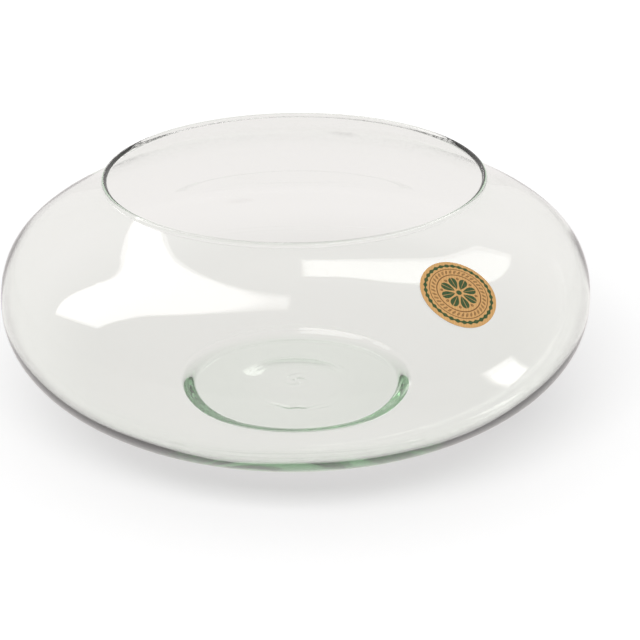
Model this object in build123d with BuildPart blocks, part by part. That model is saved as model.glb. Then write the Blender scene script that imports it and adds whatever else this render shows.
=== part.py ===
from build123d import *
from math import cos, radians, sin, tan
import os

os.makedirs("parts", exist_ok=True)

# Floating candle bowl: a low, wide bowl of blown glass with a paper label on its shoulder.
# Millimetres and degrees. The origin is the centre of the ring that the foot stands on,
# +Z is up and -Y is the front.

# Outside of the glass
girth_radius = 150
girth_height = 63
bowl_height = 124
mouth_radius = 94.7      # to the middle of the lip's bead
neck_angle = 51.5        # slope of the wall where it meets the bead, from level
belly_angle = 5.5        # slope of the wall where it leaves the foot, from level

# Thickness of the glass
neck_wall = 1.9          # under the bead
girth_wall = 1.9
belly_wall = 2.7         # above the foot, measured upright
land_wall = 5.5          # above the ring that the foot stands on
centre_wall = 4.5        # in the middle of the foot

# Bead of the lip: fire-polished round, flush with the wall inside and proud of it outside
bead_thickness = 2.8
bead_low_angle = -24     # where the bead begins on the outside, from level, seen from its middle
bead_drop = 1.2          # the even wall ends this far along the neck below the bead's middle
crease_pull = 0.5        # softness of the crease under the bead

# Foot, from outside to inside
foot_radius = 62.5       # where the foot meets the belly
foot_height = 5.8
foot_side_run = 9        # width of the sloping side
land_width = 3           # flat ring that carries the bowl
punt_rise = 1.5          # the underside is pushed up this much in the middle

# Step around the floor, inside
step_overhang = 0.8      # the step's upper edge lies this far outside the foot
step_run = 10.8

# Fullness of each curve, as shares of the height or width that it spans
outer_shoulder_pull_share = 0.68
outer_neck_pull_share = 0.445
inner_shoulder_pull_share = 0.675
inner_neck_pull_share = 0.48
outer_belly_pull_share = 0.705
inner_belly_pull_share = 0.672
belly_low_pull_share = 0.34
foot_side_pull_share = 0.3
step_pull_share = 0.38
floor_pull_share = 0.6

# Label
label_radius = 18
label_azimuth = -54.75   # from +X, which puts it at the front right
label_below_bead = 35.6  # from the end of the even wall to the label's middle, along the glass
adhesive_thickness = 0.1
paper_thickness = 0.2
label_margin = 2         # the layers are made this much too wide, then cut round
label_bite = 1           # the adhesive is made this far into the glass, then cut back to its face
label_cut_reach = 8      # depth of the round cutter, each way from the glass
layer_points = 9         # on each line that follows the glass

# Directions up the wall, in the section's own plane
up_neck = Vector(-cos(radians(neck_angle)), sin(radians(neck_angle)))
out_of_neck = Vector(sin(radians(neck_angle)), cos(radians(neck_angle)))
up_belly = Vector(cos(radians(belly_angle)), sin(radians(belly_angle)))

# Points of the section: X is the distance from the axis and Y is the height
bead_radius = bead_thickness / 2
bead_middle = Vector(mouth_radius, bowl_height - bead_radius)
bead_low = bead_middle + Vector(cos(radians(bead_low_angle)), sin(radians(bead_low_angle))) * bead_radius
bead_low_way = Vector(-sin(radians(bead_low_angle)), cos(radians(bead_low_angle)))
bead_top = bead_middle + Vector(0, bead_radius)
neck_inside = bead_middle - out_of_neck * bead_radius
neck_outside = neck_inside + out_of_neck * neck_wall - up_neck * bead_drop
girth_outside = Vector(girth_radius, girth_height)
girth_inside = Vector(girth_radius - girth_wall, girth_height)

land_outer_radius = foot_radius - foot_side_run
land_inner_radius = land_outer_radius - land_width
foot_edge = Vector(foot_radius, foot_height)
land_outer = Vector(land_outer_radius, 0)
land_inner = Vector(land_inner_radius, 0)
punt_top = Vector(0, punt_rise)

step_radius = foot_radius + step_overhang
belly_at_step = foot_height + step_overhang * tan(radians(belly_angle))
step_edge = Vector(step_radius, belly_at_step + belly_wall)
floor_edge = Vector(step_radius - step_run, land_wall)
floor_middle = Vector(0, punt_rise + centre_wall)


def shoulder(girth, neck, shoulder_pull_share, neck_pull_share):
    """Wall from the girth to the bead: it starts upright and ends along the neck."""
    rise = neck.Y - girth.Y
    pull_up = Vector(0, shoulder_pull_share * rise)
    pull_neck = up_neck * (neck_pull_share * rise)
    return Bezier(girth, girth + pull_up, neck - pull_neck, neck)


def crease(neck, bead):
    """Soft crease on the outside, from the wall into the bead."""
    return Bezier(neck, neck + up_neck * crease_pull, bead - bead_low_way * crease_pull, bead)


def belly(edge, girth, high_pull_share):
    """Wall from the foot to the girth: it starts along the belly's slope and ends upright."""
    pull_out = up_belly * (belly_low_pull_share * (girth.X - edge.X))
    pull_down = Vector(0, high_pull_share * (girth.Y - edge.Y))
    return Bezier(edge, edge + pull_out, girth - pull_down, girth)


def soft_step(low, high, pull_share, slope):
    """Soft step between two heights: it leaves the lower end level and ends along the slope."""
    pull = pull_share * (high.X - low.X)
    return Bezier(low, low + Vector(pull, 0), high - slope * pull, high)


def level_dome(middle, edge):
    """Shallow dome that is level at the axis and at its edge."""
    pull = Vector(floor_pull_share * edge.X, 0)
    return Bezier(middle, middle + pull, edge - pull, edge)


# Glass bowl: the outline of one wall, turned about the axis
with BuildPart() as glass_bowl:
    with BuildSketch(Plane.XZ):
        with BuildLine():
            level_dome(punt_top, land_inner)
            Line(land_inner, land_outer)
            soft_step(land_outer, foot_edge, foot_side_pull_share, up_belly)
            belly(foot_edge, girth_outside, outer_belly_pull_share)
            shoulder(girth_outside, neck_outside, outer_shoulder_pull_share, outer_neck_pull_share)
            crease(neck_outside, bead_low)
            ThreePointArc(bead_low, bead_top, neck_inside)
            shoulder(girth_inside, neck_inside, inner_shoulder_pull_share, inner_neck_pull_share)
            belly(step_edge, girth_inside, inner_belly_pull_share)
            soft_step(floor_edge, step_edge, step_pull_share, up_belly)
            level_dome(floor_middle, floor_edge)
            Line(floor_middle, punt_top)
        make_face()
    revolve(axis=Axis.Z)
glass_bowl.part.label = "glass_bowl"

# Place of the label: its middle on the glass, and a plane that lies against the glass there
with BuildLine() as label_wall:
    wall = shoulder(girth_outside, neck_outside, outer_shoulder_pull_share, outer_neck_pull_share)
label_along = wall.length - label_below_bead
label_middle = wall.position_at(label_along, position_mode=PositionMode.LENGTH)
up_wall = wall.tangent_at(label_along, position_mode=PositionMode.LENGTH)
outward = Vector(cos(radians(label_azimuth)), sin(radians(label_azimuth)))
around = Axis.Z.direction.cross(outward)
label_plane = Plane(
    origin=outward * label_middle.X + Axis.Z.direction * label_middle.Y,
    x_dir=around,
    z_dir=outward * up_wall.Y - Axis.Z.direction * up_wall.X,
)


def line_over_glass(distance):
    """Line at one distance from the outside of the glass, past both edges of the label."""
    reach = label_radius + label_margin
    points = []
    for number in range(layer_points):
        along = label_along - reach + 2 * reach * number / (layer_points - 1)
        place = wall.position_at(along, position_mode=PositionMode.LENGTH)
        way = wall.tangent_at(along, position_mode=PositionMode.LENGTH)
        points.append(place + Vector(way.Y, -way.X) * distance)
    return Spline(points)


def label_layer(under, over):
    """Round layer between two distances from the glass, following its shape."""
    with BuildPart() as layer:
        with BuildSketch(Plane.XZ):
            with BuildLine():
                low = line_over_glass(under)
                high = line_over_glass(over)
                Line(low @ 0, high @ 0)
                Line(low @ 1, high @ 1)
            make_face()
        revolve(axis=Axis.Z)
        with BuildSketch(label_plane):
            Circle(label_radius)
        extrude(amount=label_cut_reach, both=True, mode=Mode.INTERSECT)
    return layer.part


# Adhesive: a film from the glass out
with BuildPart() as sticker_adhesive:
    add(label_layer(-label_bite, adhesive_thickness))
    add(glass_bowl.part, mode=Mode.SUBTRACT)
sticker_adhesive.part.label = "sticker_adhesive"

# Paper: a sheet on the adhesive
with BuildPart() as sticker_paper:
    add(label_layer(adhesive_thickness, adhesive_thickness + paper_thickness))
sticker_paper.part.label = "sticker_paper"

for piece in (glass_bowl, sticker_adhesive, sticker_paper):
    export_step(piece.part, f"parts/{piece.part.label}.step")
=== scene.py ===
# %% [markdown]
# # A floating candle bowl of blown glass
# The real bowl is one piece of clear, slightly green glass, 30 cm across, with a round paper label on its
# shoulder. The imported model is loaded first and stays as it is: it is the frame that every piece below is
# built in, in metres, with the bowl's axis on Z and the floor at zero.

# %% Frame
import bpy
import numpy as np
from math import cos, pi, radians, sin, tan
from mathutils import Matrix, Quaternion, Vector


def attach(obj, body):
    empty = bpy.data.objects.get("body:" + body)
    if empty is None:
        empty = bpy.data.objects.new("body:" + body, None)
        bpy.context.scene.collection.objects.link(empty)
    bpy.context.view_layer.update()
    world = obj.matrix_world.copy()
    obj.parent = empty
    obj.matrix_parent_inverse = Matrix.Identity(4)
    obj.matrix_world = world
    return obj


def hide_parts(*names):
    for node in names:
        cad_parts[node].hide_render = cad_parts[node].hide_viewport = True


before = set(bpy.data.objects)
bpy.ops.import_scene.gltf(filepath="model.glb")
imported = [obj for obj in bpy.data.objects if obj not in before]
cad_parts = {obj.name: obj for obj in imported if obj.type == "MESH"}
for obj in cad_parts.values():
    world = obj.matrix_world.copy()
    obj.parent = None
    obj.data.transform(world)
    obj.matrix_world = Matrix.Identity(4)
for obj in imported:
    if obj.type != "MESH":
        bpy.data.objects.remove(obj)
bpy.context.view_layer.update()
scene = bpy.context.scene
mm = 0.001
print("CAD nodes:", sorted(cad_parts))

# %% [markdown]
# ## Camera
# The bowl is seen from the front and from about 25 degrees above, with a lens long enough that its near
# side hardly looks larger than its far side. The rim's ellipse, the width of the belly and the ring of the
# foot together fix the distance, the height and the lens. The picture is a crop of a larger one, so the
# lens's axis meets it a little off its centre, which the shift repeats.

# %% Camera
camera_distance = 0.75
camera_elevation = radians(24.83)
camera_roll = radians(-0.645)
camera_aim = Vector((0, 0, 0.0525))
camera_lens = 80.96             # mm, on a sensor 36 mm wide
picture_side = 640              # pixels
axis_column, axis_row = 295.6, 299.7

looking = Vector((0, cos(camera_elevation), -sin(camera_elevation)))
camera = bpy.data.objects.new("camera", bpy.data.cameras.new("camera"))
scene.collection.objects.link(camera)
camera.data.lens = camera_lens
camera.data.shift_x = (picture_side / 2 - axis_column) / picture_side
camera.data.shift_y = (axis_row - picture_side / 2) / picture_side
camera.location = camera_aim - looking * camera_distance
camera.rotation_mode = "QUATERNION"
camera.rotation_quaternion = looking.to_track_quat("-Z", "Y") @ Quaternion((0, 0, 1), camera_roll)
scene.camera = camera
print("camera at", [round(side, 4) for side in camera.location])

# %% [markdown]
# ## Helpers for materials
# Colours are written as sRGB hex, as they look on a screen, and Blender calculates with linear light, so
# one function converts them. A second one adds a node with its settings and whatever feeds it, which keeps
# a material readable from top to bottom. A third tells the kinds of rays apart, because the camera's own
# rays, those that a glass surface sends on and those that only gather light need different answers here.


# %% Colours and nodes
def linear(colour):
    """Linear RGBA of an sRGB hex colour: a channel becomes ((c + 0.055) / 1.055) to the power 2.4,
    or c / 12.92 where it is very dark."""
    channels = np.array([int(colour[place:place + 2], 16) for place in (1, 3, 5)]) / 255
    bright = ((channels + 0.055) / 1.055) ** 2.4
    return (*np.where(channels > 0.04045, bright, channels / 12.92), 1)


def add(tree, kind, inputs=None, output=0, **settings):
    """Adds a node, sets its settings, gives each input a value or a link, and returns one output."""
    made = tree.nodes.new("ShaderNode" + kind)
    for name, value in settings.items():
        setattr(made, name, value)
    for name, value in (inputs or {}).items():
        if isinstance(value, bpy.types.NodeSocket):
            tree.links.new(value, made.inputs[name])
        else:
            made.inputs[name].default_value = value
    return made.outputs[output] if made.outputs else made


def ray_is(tree, *kinds):
    """1 for a ray of any of the named kinds, such as Camera or Shadow, and 0 for every other ray."""
    light_path = add(tree, "LightPath").node
    answer = light_path.outputs[f"Is {kinds[0]} Ray"]
    for kind in kinds[1:]:
        answer = add(tree, "Math", {0: answer, 1: light_path.outputs[f"Is {kind} Ray"]}, operation="MAXIMUM")
    return answer


def empty_material(name):
    """A material with no nodes yet, and its node tree."""
    material = bpy.data.materials.new(name)
    material.use_nodes = True
    material.node_tree.nodes.clear()
    return material, material.node_tree


# %% [markdown]
# ## Section of the glass
# Blown glass has no straight line and no sharp corner: the section swings from the foot out to the girth
# and back in to the lip. A few cubic Bezier curves with named pulls give that swing, with the same sizes as
# the solid in the frame. The section could also be drawn by hand as a curve and turned with a Screw
# modifier, but arrays let the wall carry the small faults of hand work, which come next.

# %% Sizes of the glass, in mm
girth_radius, girth_height = 150, 63
bowl_height = 124
mouth_radius = 94.7             # to the middle of the lip's bead
neck_slope = radians(51.5)      # from level, where the wall meets the bead
belly_slope = radians(5.5)      # from level, where the wall leaves the foot
neck_wall, girth_wall, belly_wall, land_wall, centre_wall = 1.9, 1.9, 2.7, 5.5, 4.5
bead_thickness, bead_low_angle, bead_drop, crease_pull = 2.8, radians(-24), 1.2, 0.5
foot_radius, foot_height, foot_side_run, land_width, punt_rise = 62.5, 5.8, 9, 3, 1.5
step_overhang, step_run = 0.8, 10.8

# Fullness of each curve, as shares of the height or width that it spans
outer_shoulder_pull, outer_neck_pull = 0.68, 0.445
inner_shoulder_pull, inner_neck_pull = 0.675, 0.48
outer_belly_pull, inner_belly_pull, belly_low_pull = 0.705, 0.672, 0.34
foot_side_pull, step_pull, floor_pull = 0.3, 0.38, 0.6

level, upright = np.array([1, 0]), np.array([0, 1])
up_neck = np.array([-cos(neck_slope), sin(neck_slope)])
out_of_neck = np.array([sin(neck_slope), cos(neck_slope)])
up_belly = np.array([cos(belly_slope), sin(belly_slope)])


# %% Curves of the section
def bezier(start, start_pull, end_pull, end, rows):
    """Cubic Bezier curve at even steps of t from 0 to 1: (1-t)^3 start + 3 (1-t)^2 t start_pull
    + 3 (1-t) t^2 end_pull + t^3 end. A point is a radius and a height."""
    t = np.linspace(0, 1, rows)[:, None]
    near_start = (1 - t) ** 3 * start + 3 * (1 - t) ** 2 * t * start_pull
    near_end = 3 * (1 - t) * t ** 2 * end_pull + t ** 3 * end
    return near_start + near_end


def shoulder(girth, neck, shoulder_pull_share, neck_pull_share, rows):
    """Wall from the girth to the bead: it leaves the girth upright and ends along the neck."""
    rise = neck[1] - girth[1]
    shoulder_pull = girth + upright * shoulder_pull_share * rise
    return bezier(girth, shoulder_pull, neck - up_neck * neck_pull_share * rise, neck, rows)


def belly(edge, girth, high_pull_share, rows):
    """Wall from the foot to the girth: it leaves the foot along the belly and meets the girth upright."""
    out = up_belly * belly_low_pull * (girth[0] - edge[0])
    down = upright * high_pull_share * (girth[1] - edge[1])
    return bezier(edge, edge + out, girth - down, girth, rows)


def soft_step(low, high, pull_share, rows):
    """Step that leaves its lower end level and meets its upper end along the belly's slope."""
    pull = pull_share * (high[0] - low[0])
    return bezier(low, low + level * pull, high - up_belly * pull, high, rows)


def level_dome(middle, edge, rows):
    """Shallow dome, level at the axis and at its edge."""
    pull = level * floor_pull * edge[0]
    return bezier(middle, middle + pull, edge - pull, edge, rows)


def crease(neck, bead, rows):
    """Soft crease on the outside, from the wall into the bead."""
    return bezier(neck, neck + up_neck * crease_pull, bead - bead_low_way * crease_pull, bead, rows)


def bead(middle, rows):
    """Round bead, from the crease over the top to the inside of the neck."""
    turn = np.linspace(bead_low_angle, 1.5 * pi - neck_slope, rows)[:, None]
    return middle + bead_thickness / 2 * np.hstack([np.cos(turn), np.sin(turn)])


# %% [markdown]
# The lip was melted round in the fire, which gathers the glass into a bead: flush with the wall inside and
# proud of it outside. That bead is what keeps the far rim pale. Light that enters a plain rounded edge is
# caught inside the wall and the edge looks black, while the bead bends it out again under the crease. The
# rows are closer together there and on the foot, where tool marks are about two millimetres wide.

# %% Points between the curves
bead_middle = np.array([mouth_radius, bowl_height - bead_thickness / 2])
bead_low = bead_middle + bead_thickness / 2 * np.array([cos(bead_low_angle), sin(bead_low_angle)])
bead_low_way = np.array([-sin(bead_low_angle), cos(bead_low_angle)])
neck_inside = bead_middle - out_of_neck * bead_thickness / 2
neck_outside = neck_inside + out_of_neck * neck_wall - up_neck * bead_drop
girth_outside = np.array([girth_radius, girth_height])
girth_inside = girth_outside - level * girth_wall
land_outer = level * (foot_radius - foot_side_run)
land_inner = land_outer - level * land_width
foot_edge = np.array([foot_radius, foot_height])
step_edge = foot_edge + level * step_overhang + upright * (step_overhang * tan(belly_slope) + belly_wall)
floor_edge = np.array([step_edge[0] - step_run, land_wall])
punt_top = upright * punt_rise
floor_middle = upright * (punt_rise + centre_wall)
print("girth", girth_outside, "neck", neck_outside.round(2), "bead", bead_middle.round(2), "in mm")

# %% Section, from the middle of the underside round to the middle of the floor
bead_rows = 19
stretches = [
    level_dome(punt_top, land_inner, rows=62),
    np.linspace(land_inner, land_outer, num=4),
    soft_step(land_outer, foot_edge, foot_side_pull, rows=26),
    belly(foot_edge, girth_outside, outer_belly_pull, rows=50),
    shoulder(girth_outside, neck_outside, outer_shoulder_pull, outer_neck_pull, rows=56),
    crease(neck_outside, bead_low, rows=7),
    bead(bead_middle, bead_rows),
    shoulder(girth_inside, neck_inside, inner_shoulder_pull, inner_neck_pull, rows=50)[::-1],
    belly(step_edge, girth_inside, inner_belly_pull, rows=46)[::-1],
    soft_step(floor_edge, step_edge, step_pull, rows=26)[::-1],
    level_dome(floor_middle, floor_edge, rows=50)[::-1],
]
section = np.vstack([stretches[0]] + [stretch[1:] for stretch in stretches[1:]])
steps = np.linalg.norm(np.diff(section, axis=0), axis=1)
along = np.concatenate([[0], np.cumsum(steps)])
last_rows = np.cumsum([len(stretch) - 1 for stretch in stretches])  # of each stretch
girth_row, bead_row = last_rows[3], last_rows[5]
print("section of", len(section), "points,", round(along[-1], 1), "mm round")

# %% [markdown]
# ## Faults of hand work
# A blown wall is never even: it is a tenth of a millimetre thicker here and thinner there, in slow waves,
# and that is what bends the reflections on it. Under the foot, the tools that shaped it leave rings of
# short strokes, and the iron that held the bowl while its lip was melted leaves a small mark in the middle.
# All of these go into the shape, the waves as hollows and the marks as ridges, because glass shows them by
# bending light.

# %% Waves and tool marks
# Lengths in mm
wave_depth = 0.16               # from a wave's top to its bottom
waves = [(3, 31, 1), (5, -17, 2), (9, 12, -1), (14, -23, 3)]        # count round, length up, times phase
outside_phase, inside_phase = 0.4, 2.3
fade_off_foot, fade_off_lip, fade_off_land = 30, 12, 6      # width over which waves or marks come in
stroke_radius, stroke_width, stroke_depth = 28, 1.1, 0.3
stroke_rings = [(0, 2, 0.1), (2.8, 4, 0.6), (-3.6, 6, 0.2)]         # way out, count of strokes, turn
ring_wander = [(0.5, 3), (0.35, 17)]                                # size, count round the foot
stroke_power = 4
share_at_back, front_turn = 0.12, 0.2   # strokes are deepest at the front, this many radians to its right
mark_radius = 5


def hand_wave(azimuth, way, phase):
    """Depth in mm, from 0 to wave_depth: the mean of four sines of the azimuth and of the way along the
    section, each with its own count round the bowl and its own length up the wall."""
    sines = sum(np.sin(count * azimuth + way / length + times * phase) for count, length, times in waves)
    return wave_depth * (0.5 + sines / (2 * len(waves)))


def foot_marks(azimuth, radius):
    """Height in mm: three close rings of strokes, each a bell curve across and a sine raised to a
    power round the foot, deepest at the front, and a small round mark in the middle."""
    height = np.zeros_like(radius + azimuth)
    front = share_at_back + ((1 - np.sin(azimuth - front_turn)) / 2) ** 2
    wander = sum(size * np.sin(count * azimuth) for size, count in ring_wander)
    for ring, (offset, count, turn) in enumerate(stroke_rings):
        across = np.exp(-((radius - stroke_radius - offset - wander) / stroke_width) ** 2)
        strokes = np.abs(np.sin(count * azimuth / 2 + turn)) ** stroke_power
        height += stroke_depth / (1 + ring) * front * across * strokes
    mark = np.exp(-(radius / mark_radius) ** 2) * np.cos(2 * azimuth + radius)
    return height + stroke_depth * mark * (radius / mark_radius)


# %% [markdown]
# ## The glass
# The section is carried round the axis: each row of the grid is a point of the section and each column an
# azimuth. The grid would leave a pinhole at the axis, so a fan of triangles closes it at each end. Inside
# and outside are one closed surface, which a renderer needs to know where glass begins and ends.


# %% Closed surface of revolution
def closed_grid(name, rows, first_pole, last_pole):
    """A mesh from a grid of points, rows by columns, that closes on itself sideways. Corner (i, j) joins
    (i, j + 1), (i + 1, j + 1) and (i + 1, j), and each end of the grid is drawn together to its pole."""
    count, columns = rows.shape[:2]
    points = np.vstack([rows.reshape(-1, 3), first_pole, last_pole]) * mm
    corner = np.arange(count * columns).reshape(count, columns)
    beside = np.roll(corner, -1, axis=1)
    quads = np.stack([corner[:-1], beside[:-1], beside[1:], corner[1:]], axis=-1).reshape(-1, 4)
    low = np.stack([np.full(columns, len(points) - 2), beside[0], corner[0]], axis=-1)
    high = np.stack([np.full(columns, len(points) - 1), corner[-1], beside[-1]], axis=-1)
    mesh = bpy.data.meshes.new(name)
    mesh.from_pydata(points.tolist(), [], quads.tolist() + low.tolist() + high.tolist())
    mesh.polygons.foreach_set("use_smooth", np.ones(len(mesh.polygons), bool))
    mesh.update()
    piece = bpy.data.objects.new(name, mesh)
    scene.collection.objects.link(piece)
    print(name, "has", 2 * len(quads) + 2 * columns, "triangles")
    return piece


# %% Glass bowl
columns = 256
azimuth = np.linspace(0, 2 * pi, columns, endpoint=False)[None, :]
flow = np.gradient(section, along, axis=0)
outward = np.stack([flow[:, 1], -flow[:, 0]], axis=1)
outward /= np.linalg.norm(outward, axis=1)[:, None]
on_outside = np.arange(len(section)) < bead_row + bead_rows // 2
radius, height = section[:, :1], section[:, 1:]
off_foot = np.clip((radius - foot_radius) / fade_off_foot, 0, 1)
off_lip = np.clip((bowl_height - height) / fade_off_lip, 0, 1)
phase = np.where(on_outside, outside_phase, inside_phase)[:, None]
depth = hand_wave(azimuth, along[:, None], phase) * off_foot * off_lip
under_foot = (on_outside & (section[:, 0] < land_inner[0]))[:, None]
off_land = np.clip((land_inner[0] - radius) / fade_off_land, 0, 1)
depth -= foot_marks(azimuth, radius) * under_foot * off_land
print("waves and marks lie", depth.min().round(2), "to", depth.max().round(2), "mm under the true surface")

wall_radius = radius - outward[:, :1] * depth
wall_height = height - outward[:, 1:] * depth
grid = np.stack([wall_radius * np.cos(azimuth), wall_radius * np.sin(azimuth), wall_height], axis=-1)
glass_bowl = closed_grid("blown_glass_bowl", grid[1:-1], [0, 0, punt_top[1]], [0, 0, floor_middle[1]])
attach(glass_bowl, "root")
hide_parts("glass_bowl")

# %% [markdown]
# ## Green soda-lime glass
# Recycled bottle glass holds a little iron, which takes red and blue out of light on its way through. So the
# colour belongs inside the glass, as absorption over distance: the thin wall looks almost clear, and the
# foot and the edges, where light travels far through the glass, look green. The surface itself is clear and
# smooth, because it cooled from a melt without touching a mould. Rays that only carry light on, to the floor
# or the label, go straight through and lose a little at each surface, more where they graze the wall. That
# stands in for the slow sums of real light bent through glass.

# %% Glass material
glass_ior = 1.52
glass_tint = "#5DBC6C"          # the less of a colour it has, the faster the glass takes that colour out
absorptions_per_metre = 18
straight_on, grazing = "#F7F5F6", "#CAC8C9"     # what a surface lets through, head on and along it
grazing_blend = 0.35


def let_light_pass(tree, surface, colour):
    """The surface to every ray that is looked along, and a clear sheet of one colour to the rays that only
    carry light on to a matt surface or a lamp."""
    clear_sheet = add(tree, "BsdfTransparent", {"Color": colour})
    return add(tree, "MixShader", {0: ray_is(tree, "Shadow", "Diffuse"), 1: surface, 2: clear_sheet})


glass, tree = empty_material("blown_green_soda_lime_glass")
surface = add(tree, "BsdfPrincipled", {
    "Base Color": linear("#FFFFFF"), "Transmission Weight": 1.0, "IOR": glass_ior, "Roughness": 0.0})
edge_on = add(tree, "LayerWeight", {"Blend": grazing_blend}, output="Facing")
loss = add(tree, "Mix", {0: edge_on, 6: linear(straight_on), 7: linear(grazing)}, output=2, data_type="RGBA")
inside = add(tree, "VolumeAbsorption", {"Color": linear(glass_tint), "Density": absorptions_per_metre})
add(tree, "OutputMaterial", {"Surface": let_light_pass(tree, surface, loss), "Volume": inside})
glass_bowl.data.materials.append(glass)
print(glass.name, "has", len(tree.nodes), "nodes")

# %% [markdown]
# ## Place of the label
# The label sits on the front right of the shoulder. Its middle is a length measured down the glass from the
# bead, and a plane laid against the glass there gives it its own axes: around the bowl, up the wall and out.

# %% Label's plane
label_radius = 18
label_azimuth = radians(-54.75)
label_below_bead = 35.6         # mm along the glass, from the end of the even wall to the label's middle
adhesive_thickness, paper_thickness = 0.1, 0.2
hair = 0.02                     # mm of air between two layers
fine_rows = 600

wall = shoulder(girth_outside, neck_outside, outer_shoulder_pull, outer_neck_pull, fine_rows)
wall_along = np.concatenate([[0], np.cumsum(np.linalg.norm(np.diff(wall, axis=0), axis=1))])
wall_flow = np.gradient(wall, wall_along, axis=0)
label_along = wall_along[-1] - label_below_bead
middle_radius, middle_height = (np.interp(label_along, wall_along, wall[:, side]) for side in (0, 1))
up_wall = np.array([np.interp(label_along, wall_along, wall_flow[:, side]) for side in (0, 1)])
away = np.array([cos(label_azimuth), sin(label_azimuth), 0])
label_middle = away * middle_radius + np.array([0, 0, middle_height])
label_out = away * up_wall[1] - np.array([0, 0, up_wall[0]])
label_around = np.cross([0, 0, 1], away)
label_up = np.cross(label_out, label_around)
print("label's middle in mm:", label_middle.round(2), "facing", label_out.round(3))


# %% [markdown]
# Paper bends one way without a crease and hardly stretches, so on a round shoulder it follows the glass.
# Each point of the label's flat outline is pushed along the label's own axis until it meets the glass, and
# then lifted off it by its height in the label.


# %% Layers laid on the glass
newton_steps = 12
along_at_girth = along[girth_row]


def lay_on_glass(name, layer_section, layer_columns):
    """A closed round layer on the glass. Its section is a list of distances from the label's middle and
    heights over the glass. A flat point p = distance (cos a, sin a) is moved by t along the label's axis
    until its distance from the bowl's axis is the wall's radius at its height, by Newton's steps."""
    angle = np.linspace(0, 2 * pi, layer_columns, endpoint=False)[None, :]
    distance, lift = layer_section[:, :1], layer_section[:, 1:]
    across, upward = distance * np.cos(angle), distance * np.sin(angle)
    flat = label_middle + across[..., None] * label_around + upward[..., None] * label_up
    push = np.zeros_like(across)
    for _ in range(newton_steps):
        place = flat + push[..., None] * label_out
        reach = np.hypot(place[..., 0], place[..., 1])
        way = np.interp(place[..., 2], wall[:, 1], wall_along)
        gap = reach - np.interp(way, wall_along, wall[:, 0])
        flow_in, flow_up = (np.interp(way, wall_along, wall_flow[:, side]) for side in (0, 1))
        outward_share = (place[..., 0] * label_out[0] + place[..., 1] * label_out[1]) / reach
        push -= gap / (outward_share - flow_in / flow_up * label_out[2])
    round_bowl = np.arctan2(place[..., 1], place[..., 0])
    lift = lift - hand_wave(round_bowl, along_at_girth + way, outside_phase)
    out = np.stack([flow_up * np.cos(round_bowl), flow_up * np.sin(round_bowl), -flow_in], axis=-1)
    laid = place + lift[..., None] * out
    piece = closed_grid(name, laid[1:-1], laid[0, 0], laid[-1, 0])
    flat_places = np.stack([across, upward], axis=-1) / (2 * label_radius) + 0.5
    corners = np.vstack([flat_places[1:-1].reshape(-1, 2), flat_places[0, 0], flat_places[-1, 0]])
    used = np.zeros(len(piece.data.loops), int)
    piece.data.loops.foreach_get("vertex_index", used)
    piece.data.uv_layers.new(name="label").data.foreach_set("uv", corners[used].ravel())
    return piece


# %% The two layers of the label
def disc_section(bottom, top, rows, rim_rows=7):
    """Section of a disc with a rounded rim: out along the bottom, half round the rim, back along the top."""
    rim = (top - bottom) / 2
    out = np.linspace(0, label_radius - rim, rows)
    turn = np.linspace(-pi / 2, pi / 2, rim_rows)[1:-1]
    bulge = np.stack([label_radius - rim + rim * np.cos(turn), (bottom + top) / 2 + rim * np.sin(turn)], axis=1)
    under = np.stack([out, np.full(rows, bottom)], axis=1)
    over = np.stack([out[::-1], np.full(rows, top)], axis=1)
    return np.vstack([under, bulge, over])


adhesive_top = adhesive_thickness + hair / 2
paper_top = adhesive_thickness + paper_thickness
adhesive = lay_on_glass("label_adhesive_film", disc_section(hair, adhesive_top, rows=20), layer_columns=120)
paper = lay_on_glass("kraft_paper_label", disc_section(adhesive_top + hair, paper_top, rows=26), layer_columns=180)
for piece, node, slot in (
        (adhesive, "sticker_adhesive", "label_adhesive"), (paper, "sticker_paper", "kraft_paper")):
    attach(piece, "root")
    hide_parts(node)

# %% [markdown]
# ## Adhesive
# Acrylic label adhesive is a clear film with tiny bubbles and strokes left by the roller that spread it. It
# shows only through the glass, from inside the bowl, where it makes the back of the paper a little paler.

# %% Adhesive material
film_colour, film_ior = "#F4EFE4", 1.47

adhesive_film, tree = empty_material("rolled_clear_acrylic_adhesive")
flat_place = add(tree, "UVMap", uv_map="label")
in_mm = add(tree, "Mapping", {"Location": (0.5, 0.5, 0), "Scale": [1 / (2 * label_radius)] * 2 + [1]},
            vector_type="TEXTURE")
tree.links.new(flat_place, in_mm.node.inputs["Vector"])
strokes = add(tree, "TexNoise", {"Vector": in_mm, "Scale": 1.5, "Detail": 3.0}, noise_dimensions="2D")
cloudy = add(tree, "MapRange", {"Value": strokes, "To Min": 0.12, "To Max": 0.4})
film = add(tree, "BsdfPrincipled", {
    "Base Color": linear(film_colour), "Transmission Weight": 1.0, "IOR": film_ior, "Roughness": cloudy})
add(tree, "OutputMaterial", {"Surface": let_light_pass(tree, film, linear(film_colour))})
adhesive.data.materials.append(adhesive_film)
print(adhesive_film.name, "has", len(tree.nodes), "nodes")

# %% [markdown]
# ## Printed kraft paper
# Kraft paper is made of unbleached wood fibres, so it is warm brown, matt and a little streaky along the
# direction in which the machine drew it. The ornament on it is printed in dark green and brown: a scalloped
# border, a wreath of small slanting leaves between two thin rings, and a flower of eight petals. It is
# built from distances: each shape is a formula that is negative inside the ink, and one step with a soft
# edge turns that into ink.


# %% Ink from a distance
def inked(tree, distance, bleed=0.12):
    """1 where the distance in mm is below zero and 0 above it, with an edge as wide as the ink's bleed."""
    return add(tree, "MapRange", {
        "Value": distance, "From Min": -bleed, "From Max": bleed, "To Min": 1.0, "To Max": 0.0},
        interpolation_type="SMOOTHSTEP")


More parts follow.
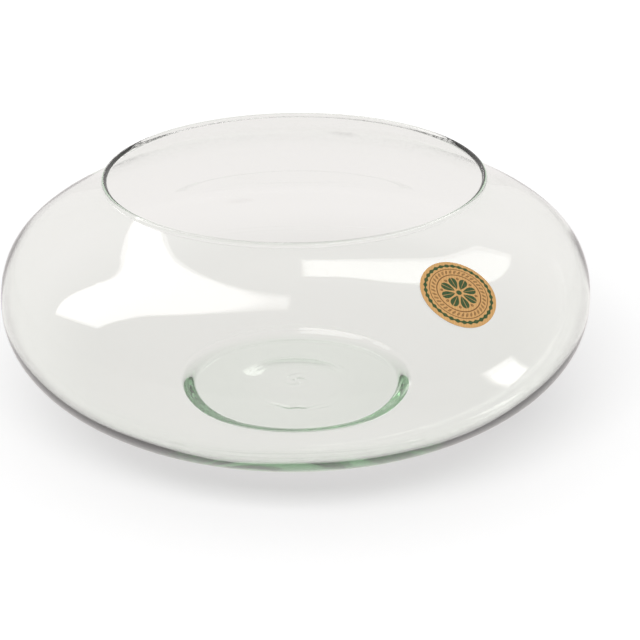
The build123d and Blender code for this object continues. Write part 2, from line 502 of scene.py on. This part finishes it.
def ring(tree, radius, middle, width):
    """Distance in mm to a ring: how far the radius is from the ring's middle, less half its width."""
    off = add(tree, "Math", {0: radius, 1: middle}, operation="SUBTRACT")
    size = add(tree, "Math", {0: off}, operation="ABSOLUTE")
    return add(tree, "Math", {0: size, 1: width / 2}, operation="SUBTRACT")


def wave_round(tree, angle, count, size):
    """Size times the cosine of count times the angle round the label."""
    turns = add(tree, "Math", {0: angle, 1: count}, operation="MULTIPLY")
    wave = add(tree, "Math", {0: turns}, operation="COSINE")
    return add(tree, "Math", {0: wave, 1: size}, operation="MULTIPLY")


def leaves(tree, radius, angle, count, middle, half_length, half_width, slant=0.0, midrib=0.18):
    """Distance to a wreath of leaves: each is an ellipse round its own middle, slanted by adding a share
    of its radial place to its place round the wreath, less a thin midrib of bare paper."""
    turns = add(tree, "Math", {0: angle, 1: count / (2 * pi)}, operation="MULTIPLY")
    share = add(tree, "Math", {0: turns}, operation="FRACT")
    centred = add(tree, "Math", {0: share, 1: 0.5}, operation="SUBTRACT")
    round_mm = add(tree, "Math", {0: centred, 1: 2 * pi * middle / count}, operation="MULTIPLY")
    out_mm = add(tree, "Math", {0: radius, 1: middle}, operation="SUBTRACT")
    slanted = add(tree, "Math", {0: out_mm, 1: slant, 2: round_mm}, operation="MULTIPLY_ADD")
    long = add(tree, "Math", {0: out_mm, 1: half_length}, operation="DIVIDE")
    wide = add(tree, "Math", {0: slanted, 1: half_width}, operation="DIVIDE")
    place = add(tree, "CombineXYZ", {"X": long, "Y": wide})
    size = add(tree, "VectorMath", {0: place}, output="Value", operation="LENGTH")
    off_edge = add(tree, "Math", {0: size, 1: half_width, 2: -half_width}, operation="MULTIPLY_ADD")
    off_rib = add(tree, "Math", {0: slanted}, operation="ABSOLUTE")
    rib = add(tree, "Math", {0: midrib / 2, 1: off_rib}, operation="SUBTRACT")
    return add(tree, "Math", {0: off_edge, 1: rib}, operation="MAXIMUM")


# %% Places on the label, in mm
label_turn = radians(-31.4)     # the label was stuck on this much out of line

kraft, tree = empty_material("flexo_printed_kraft_paper")
flat_place = add(tree, "UVMap", uv_map="label")
in_mm = add(tree, "Mapping", {
    "Vector": flat_place, "Location": (0.5, 0.5, 0), "Rotation": (0, 0, label_turn),
    "Scale": [1 / (2 * label_radius)] * 2 + [1]}, vector_type="TEXTURE")
split = add(tree, "SeparateXYZ", {0: in_mm}).node
radius_mm = add(tree, "VectorMath", {0: in_mm}, output="Value", operation="LENGTH")
angle = add(tree, "Math", {0: split.outputs["Y"], 1: split.outputs["X"]}, operation="ARCTAN2")

# %% Ornament
border_at, outer_ring_at, wreath_at, inner_ring_at = 15.6, 13.7, 12.0, 10.3     # mm from the middle
seeds_at, petals_at, button_radius = 8.1, 5.4, 1.3

scallops = add(tree, "Math", {
    0: ring(tree, radius_mm, border_at, width=1.3), 1: wave_round(tree, angle, count=32, size=0.28)},
    operation="ADD")
wreath = leaves(tree, radius_mm, angle, count=36, middle=wreath_at, half_length=1.05, half_width=0.5, slant=0.45)
outer_ring = ring(tree, radius_mm, outer_ring_at, width=0.36)
inner_ring = ring(tree, radius_mm, inner_ring_at, width=0.5)
flower = leaves(tree, radius_mm, angle, count=8, middle=petals_at, half_length=3.3, half_width=1.75)
between = add(tree, "Math", {0: angle, 1: pi / 8}, operation="ADD")
seeds = leaves(tree, radius_mm, between, count=8, middle=seeds_at, half_length=0.8, half_width=0.6)
button = add(tree, "Math", {0: radius_mm, 1: button_radius}, operation="SUBTRACT")

green_parts = [inked(tree, part) for part in (scallops, flower, button)]
brown_parts = [inked(tree, part) for part in (wreath, outer_ring, inner_ring, seeds)]
green_ink, brown_ink = green_parts[0], brown_parts[0]
for part in green_parts[1:]:
    green_ink = add(tree, "Math", {0: green_ink, 1: part}, operation="MAXIMUM")
for part in brown_parts[1:]:
    brown_ink = add(tree, "Math", {0: brown_ink, 1: part}, operation="MAXIMUM")
print(len(green_parts), "shapes in green and", len(brown_parts), "in brown")

# %% Paper and ink
paper_dark, paper_light, brown_ink_colour, green_ink_colour = "#C79659", "#E2B57C", "#6A4A2C", "#134A2C"
fibre_length, fibre_width = 3.0, 0.35       # mm
streak_spacing, streak_share = 1.3, 0.4     # mm; a wave node repeats after pi / (10 Scale)

fibre_place = add(tree, "Mapping", {
    "Vector": in_mm, "Scale": (1 / fibre_width, 1 / fibre_length, 1)}, vector_type="POINT")
fibres = add(tree, "TexNoise", {"Vector": fibre_place, "Scale": 1.0, "Detail": 4.0, "Roughness": 0.6})
streaks = add(tree, "TexWave", {
    "Vector": in_mm, "Scale": pi / (10 * streak_spacing), "Distortion": 2.0, "Detail": 2.0,
    "Detail Scale": 0.6}, output="Fac", wave_type="BANDS", bands_direction="X", wave_profile="SIN")
tone = add(tree, "Mix", {0: streak_share, 2: fibres, 3: streaks}, data_type="FLOAT")
brown = add(tree, "Mix", {0: tone, 6: linear(paper_dark), 7: linear(paper_light)}, output=2, data_type="RGBA")
dry = add(tree, "MapRange", {"Value": fibres, "From Min": 0.3, "From Max": 0.7, "To Min": 1.0, "To Max": 0.88})
brown_cover = add(tree, "Math", {0: brown_ink, 1: dry}, operation="MULTIPLY")
green_cover = add(tree, "Math", {0: green_ink, 1: dry}, operation="MULTIPLY")
with_brown = add(
    tree, "Mix", {0: brown_cover, 6: brown, 7: linear(brown_ink_colour)}, output=2, data_type="RGBA")
printed = add(
    tree, "Mix", {0: green_cover, 6: with_brown, 7: linear(green_ink_colour)}, output=2, data_type="RGBA")
relief = add(tree, "Bump", {"Strength": 0.25, "Distance": 0.05 * mm, "Height": fibres})
sheet = add(tree, "BsdfPrincipled", {"Base Color": printed, "Roughness": 0.82, "Normal": relief})
add(tree, "OutputMaterial", {"Surface": sheet})
paper.data.materials.append(kraft)
print(kraft.name, "has", len(tree.nodes), "nodes")

# %% [markdown]
# ## Floor
# The floor is a plain white sheet. Part of its white is given off and the rest is lit, so that it looks
# white to the camera while the lit share still takes the shadow of the bowl. The share that is given off
# grows away from the bowl, because the lamp's light falls off there and the sheet should stay white. Seen
# through the glass or in it, the sheet is a little greyer and warmer than the clean white around the bowl,
# which is what makes the clear glass stand out. It lies a hair below zero, so that it never fights with the
# ring of the foot.

# %% Floor
floor_radius, floor_drop = 3000, 0.05       # mm
floor_sides = 96

turn = np.linspace(0, 2 * pi, floor_sides, endpoint=False)
rim = np.stack([floor_radius * np.cos(turn), floor_radius * np.sin(turn), 0 * turn - floor_drop], axis=1)
floor_mesh = bpy.data.meshes.new("floor")
floor_mesh.from_pydata((rim * mm).tolist(), [], [list(range(floor_sides))])
floor = bpy.data.objects.new("floor", floor_mesh)
scene.collection.objects.link(floor)
print("floor", round(2 * floor_radius * mm), "m across")

# %% Floor's white
own_light_near, own_light_far, lit_share_seen = 0.29, 0.66, 0.9
near, far = 0.12, 0.72          # m from the bowl
own_light_through, lit_share_through = 0.62, 0.4
paper_white, behind_glass = "#FFFFFF", "#FFFBFA"

paint, tree = empty_material("matt_white_paper_floor")
through = ray_is(tree, "Glossy", "Transmission")
place = add(tree, "TexCoord", output="Object")
from_bowl = add(tree, "VectorMath", {0: place}, output="Value", operation="LENGTH")
own_light_seen = add(tree, "MapRange", {
    "Value": from_bowl, "From Min": near, "From Max": far, "To Min": own_light_near, "To Max": own_light_far},
    interpolation_type="SMOOTHSTEP")
seen = add(tree, "Math", {0: ray_is(tree, "Camera"), 1: own_light_seen}, operation="MULTIPLY")
own_light = add(tree, "Math", {0: through, 1: own_light_through, 2: seen}, operation="MULTIPLY_ADD")
lit_share = add(tree, "Mix", {0: through, 2: lit_share_seen, 3: lit_share_through}, data_type="FLOAT")
hue = add(tree, "Mix", {0: through, 6: linear(paper_white), 7: linear(behind_glass)}, output=2, data_type="RGBA")
lit_hue = add(tree, "Mix", {0: lit_share, 6: (0, 0, 0, 1), 7: hue}, output=2, data_type="RGBA")
white = add(tree, "Emission", {"Color": hue, "Strength": own_light})
lit = add(tree, "BsdfDiffuse", {"Color": lit_hue})
add(tree, "OutputMaterial", {"Surface": add(tree, "AddShader", {0: white, 1: lit})})
floor_mesh.materials.append(paint)
print(paint.name, "has", len(tree.nodes), "nodes")

# %% [markdown]
# ## Light
# A plain studio: soft light from all round, and one wide lamp high in front and a little to the left, which
# lays a soft shadow that shows on both sides. Glass shows little but its surroundings, so these matter more
# than any lamp. Behind the bowl a white sheet sweeps up, and overhead and in front the room is a shade
# greyer. A long soft box hangs overhead and runs down to the left. The front wall mirrors it as the forked
# bright patch on the left, and the hollow back wall mirrors it once more, as the band on the right. A small
# window stands low behind the bowl and shows at the lower right. Soft box and window belong to the world as
# the glass shows it, so they shine in the glass and light nothing else. The camera itself sees plain white.

# %% Surroundings
ambient = 0.45
sweep_white, room_grey = 0.93, 0.88
sweep_tilt = radians(24)        # the bright half is tipped up this much behind the bowl
edge_low, edge_high = sin(radians(-4)), sin(radians(24))     # above that half, where white turns to grey

world = bpy.data.worlds.new("studio")
scene.world = world
world.use_nodes = True
tree = world.node_tree
tree.nodes.clear()
direction = add(tree, "TexCoord", output="Generated")
over_sweep = add(tree, "VectorMath", {
    0: direction, 1: (0, -sin(sweep_tilt), cos(sweep_tilt))}, output="Value", operation="DOT_PRODUCT")
around = add(tree, "MapRange", {
    "Value": over_sweep, "From Min": edge_low, "From Max": edge_high, "To Min": sweep_white, "To Max": room_grey},
    interpolation_type="SMOOTHSTEP")

# %% Soft box and window
soft_box_overhead = [(-0.02, 0.16, 1), (-0.02, 0.46, 1), (-0.85, 0.72, 1), (-0.65, 0.2, 1)]
soft_box_left = [(-0.65, 0.2, 1), (-0.85, 0.72, 1), (-2.7, 0.82, 1), (-1.5, 0.04, 1)]
window = [(-0.36, 2.6, 1), (-0.58, 2.6, 1), (-1.08, 5.6, 1), (-0.95, 7.5, 1)]
panel_brightness = 2.6          # added to the room's own; the corners are directions from the bowl
soft_edge = 0.012               # half the width of a panel's edge, as a sine seen from the bowl


def panel(tree, corners):
    """1 inside the sheet that four corners span, as seen from the bowl, and 0 outside. Two neighbouring
    corners and the bowl span a plane, and a direction is inside if it is on the inner side of all four."""
    corners = np.array(corners, float)
    nearest_edge = None
    for corner, neighbour in zip(corners, np.roll(corners, -1, axis=0)):
        inwards = np.cross(corner, neighbour)
        inwards *= np.sign(inwards @ corners.mean(axis=0)) / np.linalg.norm(inwards)
        inside = add(tree, "VectorMath", {0: direction, 1: inwards}, output="Value", operation="DOT_PRODUCT")
        nearest_edge = inside if nearest_edge is None else add(tree, "Math", {
            0: nearest_edge, 1: inside}, operation="MINIMUM")
    return add(tree, "MapRange", {
        "Value": nearest_edge, "From Min": -soft_edge, "From Max": soft_edge}, interpolation_type="SMOOTHSTEP")


panel_share = 0.0
for corners in (soft_box_overhead, soft_box_left, window):
    panel_share = add(tree, "Math", {0: panel(tree, corners), 1: panel_share}, operation="ADD", use_clamp=True)
around = add(tree, "Math", {0: panel_share, 1: panel_brightness, 2: around}, operation="MULTIPLY_ADD")
mirrored = ray_is(tree, "Glossy", "Transmission")
unseen = add(tree, "Mix", {0: mirrored, 2: ambient, 3: around}, data_type="FLOAT")
strength = add(tree, "Mix", {0: ray_is(tree, "Camera"), 2: unseen, 3: 1.0}, data_type="FLOAT")
hue = add(tree, "Mix", {0: mirrored, 6: linear(paper_white), 7: linear(behind_glass)}, output=2, data_type="RGBA")
add(tree, "OutputWorld", {"Surface": add(tree, "Background", {"Color": hue, "Strength": strength})})
print(world.name, "has", len(tree.nodes), "nodes")


# %% Lamp
key_place = (-0.2, -1.55, 1.8)  # m
key_width, key_depth = 2.1, 0.7
key_watts = 31


def softbox(name, place, width, depth, power):
    """A long lamp at a place in metres, turned towards the bowl. The glass doesn't show it."""
    lamp = bpy.data.lights.new(name, "AREA")
    lamp.shape, lamp.size, lamp.size_y, lamp.energy = "RECTANGLE", width, depth, power
    box = bpy.data.objects.new(name, lamp)
    box.location = place
    box.rotation_mode = "QUATERNION"
    box.rotation_quaternion = (-Vector(place)).to_track_quat("-Z", "Y")
    box.visible_glossy = box.visible_transmission = box.visible_camera = False
    scene.collection.objects.link(box)
    return box


softbox("front_key", key_place, key_width, key_depth, key_watts)

# %% [markdown]
# ## Bounces
# Light crosses four glass surfaces on its way through the bowl. Near an edge it is caught inside the wall
# and mirrored dozens of times before it comes out green, and each of those mirrorings counts as a glossy
# bounce. With few bounces such a path ends early, and the edge turns black in place of green.

# %% Bounces
scene.cycles.max_bounces = 96
scene.cycles.transmission_bounces = scene.cycles.glossy_bounces = 64
scene.cycles.transparent_max_bounces = 24
scene.view_settings.view_transform = "Standard"
print("glossy bounces:", scene.cycles.glossy_bounces, "of", scene.cycles.max_bounces)
